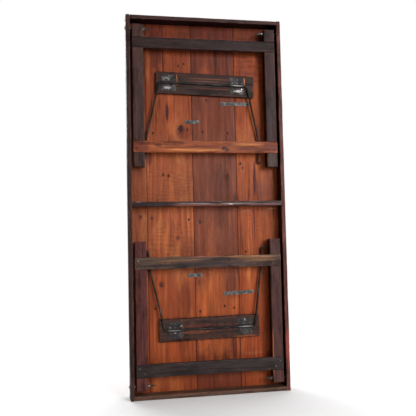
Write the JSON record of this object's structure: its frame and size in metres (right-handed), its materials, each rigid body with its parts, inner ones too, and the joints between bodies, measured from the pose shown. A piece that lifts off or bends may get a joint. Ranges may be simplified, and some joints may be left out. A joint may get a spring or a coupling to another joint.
{
  "type": "folding table",
  "caption": "Folding table with a planked wooden top in a rim of aprons, and leg frames on pivot bolts that bent steel rod braces hold open.",
  "frame": {"origin": "middle of the short end that the folded table stands on, midway through its thickness", "axes": "+Z along the table, up as it stands on its end; +X across the table; +Y out of the tabletop face, so the underside with the folded legs faces -Y"},
  "size_m": [0.782, 0.092, 1.829],
  "materials": {
    "top_boards": "worn oiled softwood boards",
    "rim_wood": "dark stained, rubbed along the arrises",
    "leg_wood": "dark stained, worn",
    "pale_stretcher_wood": "oiled, lighter than the legs",
    "block_wood": "dark rough-sawn",
    "dark_rod_steel": "dark, dull, rubbed at the bends",
    "strap_steel": "blue-grey sheet, worn bright over the rod",
    "plate_steel": "dull grey",
    "bolt_steel": "zinc grey, dirty",
    "nail_steel": "dull, slightly rusty"
  },
  "bodies": {
    "tabletop": {"apron_lock_nuts": "bolt_steel", "centre_plank": "top_boards", "left_apron": "rim_wood", "left_edge_plank": "top_boards", "left_plank": "top_boards", "lower_block_nails": "nail_steel", "lower_brace_block": "block_wood", "lower_end_apron": "rim_wood", "lower_left_pivot_bolt": "bolt_steel", "lower_left_strap": "strap_steel", "lower_long_mending_plate": "plate_steel", "lower_right_pivot_bolt": "bolt_steel", "lower_right_strap": "strap_steel", "lower_short_mending_plate": "plate_steel", "lower_strap_nails": "nail_steel", "mending_plate_screws": "bolt_steel", "middle_rail": "rim_wood", "pivot_nuts": "bolt_steel", "pivot_washers": "bolt_steel", "right_apron": "rim_wood", "right_plank": "top_boards", "rim_nails": "nail_steel", "top_nails": "nail_steel", "upper_block_nails": "nail_steel", "upper_brace_block": "block_wood", "upper_end_apron": "rim_wood", "upper_left_pivot_bolt": "bolt_steel", "upper_left_strap": "strap_steel", "upper_long_mending_plate": "plate_steel", "upper_right_pivot_bolt": "bolt_steel", "upper_right_strap": "strap_steel", "upper_short_mending_plate": "plate_steel", "upper_strap_nails": "nail_steel"},
    "upper_leg_frame": {"upper_left_leg": "leg_wood", "upper_right_leg": "leg_wood", "upper_pivot_stretcher": "leg_wood", "upper_foot_stretcher": "pale_stretcher_wood", "upper_lap_nails": "nail_steel"},
    "upper_brace": {"upper_brace_rod": "dark_rod_steel"},
    "lower_leg_frame": {"lower_left_leg": "leg_wood", "lower_right_leg": "leg_wood", "lower_pivot_stretcher": "leg_wood", "lower_foot_stretcher": "leg_wood", "lower_lap_nails": "nail_steel"},
    "lower_brace": {"lower_brace_rod": "dark_rod_steel"}
  },
  "joints": [
    {"name": "upper_leg_fold", "type": "hinge", "parent": "tabletop", "child": "upper_leg_frame", "pos_m": [0, -0.0155, 1.7695], "axis": [-1, 0, 0], "range_deg": [0, 90]},
    {"name": "upper_brace_swing", "type": "hinge", "parent": "tabletop", "child": "upper_brace", "pos_m": [-0.005, -0.0006, 1.509], "axis": [-0.9997, 0, 0.0262], "range_deg": [0, 134.71]},
    {"name": "lower_leg_fold", "type": "hinge", "parent": "tabletop", "child": "lower_leg_frame", "pos_m": [0, -0.0155, 0.0595], "axis": [1, 0, 0], "range_deg": [0, 90]},
    {"name": "lower_brace_swing", "type": "hinge", "parent": "tabletop", "child": "lower_brace", "pos_m": [0.005, -0.0006, 0.31], "axis": [0.9999, 0, 0.014], "range_deg": [0, 132.7]}
  ],
  "couplings": [
    {"joint": "upper_brace_swing", "follows": "upper_leg_fold", "ratio": 1.4966},
    {"joint": "lower_brace_swing", "follows": "lower_leg_fold", "ratio": 1.4743}
  ]
}
